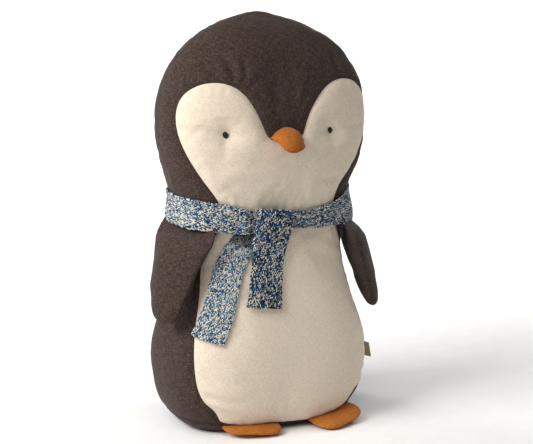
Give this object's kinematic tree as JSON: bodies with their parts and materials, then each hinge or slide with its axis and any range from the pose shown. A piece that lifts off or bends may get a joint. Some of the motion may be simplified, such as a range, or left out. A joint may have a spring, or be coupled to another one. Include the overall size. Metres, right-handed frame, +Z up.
{
  "type": "plush penguin",
  "caption": "Standing stuffed toy penguin with a flat weighted base, cream front panel, tied eyes, stuffed beak, flapping wings, flat feet and a knotted knit scarf.",
  "frame": {"origin": "on the floor under the middle of the body, in the flat underside of the base", "axes": "+Z up through the crown, the face and belly look along -Y, the penguin's own left side is +X"},
  "size_m": [0.197, 0.1338, 0.34],
  "materials": {
    "cream_linen": "plain-weave cream linen cotton, matte",
    "dark_linen": "brushed charcoal-brown linen, matte, lightly heathered",
    "beak_felt": "brushed ochre cloth, matte",
    "foot_felt": "brushed ochre cloth, matte",
    "scarf_knit": "loose stocking knit in marled cream, blue and navy yarn",
    "label_ribbon": "blank woven ribbon, matte",
    "eye_thread": "waxed black embroidery thread, slightly glossy",
    "black_thread": "sewing thread",
    "fibre_fill": "white fibre fill",
    "bag_cloth": "plain lining cloth",
    "pellets": "small smooth pellets"
  },
  "bodies": {
    "body": {"front_panel": "cream_linen", "hood_panel": "dark_linen", "back_panel_left": "dark_linen", "back_panel_right": "dark_linen", "base_panel": "dark_linen", "closing_stitches": "black_thread", "body_fill": "fibre_fill", "weight_bag_upper": "bag_cloth", "weight_bag_lower": "bag_cloth", "weight_pellets": "pellets", "eye_tie_thread": "black_thread", "eye_knot_left": "eye_thread", "eye_knot_right": "eye_thread", "beak_upper": "beak_felt", "beak_lower": "beak_felt", "beak_fill": "fibre_fill", "scarf_band": "scarf_knit", "scarf_knot": "scarf_knit", "side_label": "label_ribbon"},
    "wing_left": {"wing_left_outer": "dark_linen", "wing_left_inner": "dark_linen", "wing_left_fill": "fibre_fill"},
    "wing_right": {"wing_right_outer": "dark_linen", "wing_right_inner": "dark_linen", "wing_right_fill": "fibre_fill"},
    "foot_left": {"foot_left_top": "foot_felt", "foot_left_sole": "foot_felt", "foot_left_fill": "fibre_fill"},
    "foot_right": {"foot_right_top": "foot_felt", "foot_right_sole": "foot_felt", "foot_right_fill": "fibre_fill"},
    "scarf_end_short": {"scarf_tail_short": "scarf_knit"},
    "scarf_end_long": {"scarf_tail_long": "scarf_knit"}
  },
  "joints": [
    {"name": "wing_left_flap", "type": "hinge", "parent": "body", "child": "wing_left", "pos_m": [0.0743, -0.0142, 0.1623], "axis": [-0.342, -0.9397, 0], "range_deg": [-4, 75]},
    {"name": "wing_right_flap", "type": "hinge", "parent": "body", "child": "wing_right", "pos_m": [-0.0743, -0.0142, 0.1623], "axis": [-0.342, 0.9397, 0], "range_deg": [-4, 75]},
    {"name": "foot_left_fold", "type": "hinge", "parent": "body", "child": "foot_left", "pos_m": [0.035, -0.0488, 0.0062], "axis": [-0.9945, -0.1045, 0], "range_deg": [-20, 25]},
    {"name": "foot_right_fold", "type": "hinge", "parent": "body", "child": "foot_right", "pos_m": [-0.035, -0.0488, 0.0062], "axis": [-0.9945, 0.1045, 0], "range_deg": [-20, 25]},
    {"name": "scarf_end_short_swing", "type": "hinge", "parent": "body", "child": "scarf_end_short", "pos_m": [-0.0145, -0.0507, 0.1578], "axis": [-0.9855, 0, 0.1699], "range_deg": [0, 100]},
    {"name": "scarf_end_long_swing", "type": "hinge", "parent": "body", "child": "scarf_end_long", "pos_m": [-0.0455, -0.0462, 0.1562], "axis": [-0.9516, 0, 0.3074], "range_deg": [0, 100]}
  ]
}
